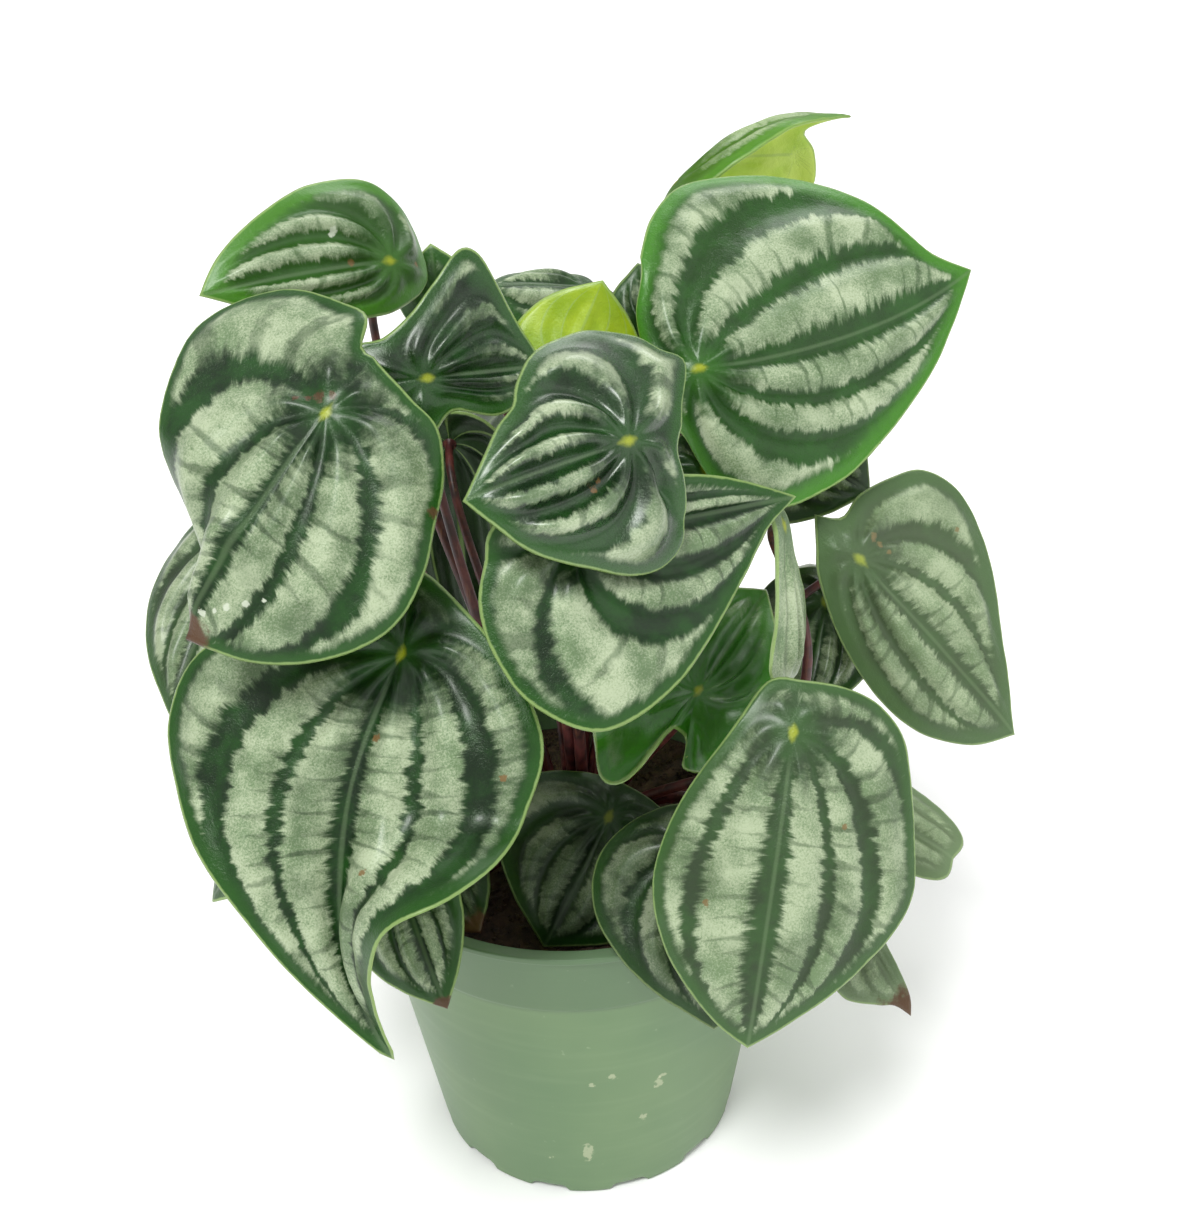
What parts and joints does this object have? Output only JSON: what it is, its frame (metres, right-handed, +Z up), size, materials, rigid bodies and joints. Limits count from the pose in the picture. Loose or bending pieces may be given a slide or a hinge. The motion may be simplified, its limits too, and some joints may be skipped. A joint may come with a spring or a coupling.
{
  "type": "potted peperomia",
  "caption": "Bushy peperomia with silver-striped shield leaves on thin petioles, standing in the soil of a tapered nursery pot with a notched foot.",
  "frame": {"origin": "middle of the pot's flat underside, on the surface that it stands on", "axes": "+Z up, -Y towards the front that faces the viewer, +X to the viewer's right"},
  "size_m": [0.1878, 0.1801, 0.2347],
  "materials": {
    "pot": "satin",
    "soil": "matte",
    "petiole": "satin",
    "leaf": "satin"
  },
  "bodies": {
    "root": {"pot": "pot", "soil": "soil", "crown_and_petioles": "petiole", "leaf_upper_left": "leaf", "leaf_scrap_left": "leaf", "leaf_far_left": "leaf", "leaf_left_large": "leaf", "leaf_front_left": "leaf", "leaf_inner_left": "leaf", "leaf_back_middle": "leaf", "leaf_back_small": "leaf", "leaf_behind_top": "leaf", "leaf_top": "leaf", "leaf_upper_right": "leaf", "leaf_centre": "leaf", "leaf_middle": "leaf", "leaf_striped": "leaf", "leaf_behind_right": "leaf", "leaf_edge_on": "leaf", "leaf_inner_right": "leaf", "leaf_wavy": "leaf", "leaf_right": "leaf", "leaf_front_right": "leaf", "leaf_far_right": "leaf", "leaf_dry_tip": "leaf", "leaf_low_right": "leaf", "leaf_low_middle": "leaf", "leaf_low_small": "leaf", "leaf_low_left": "leaf", "leaf_inner_back": "leaf", "leaf_rear_left": "leaf", "leaf_rear_middle": "leaf", "leaf_rear_right": "leaf", "leaf_rear_far_right": "leaf", "leaf_rear_low_left": "leaf", "leaf_rear_low_middle": "leaf", "leaf_rear_low_right": "leaf", "leaf_side_left": "leaf"}
  },
  "joints": []
}
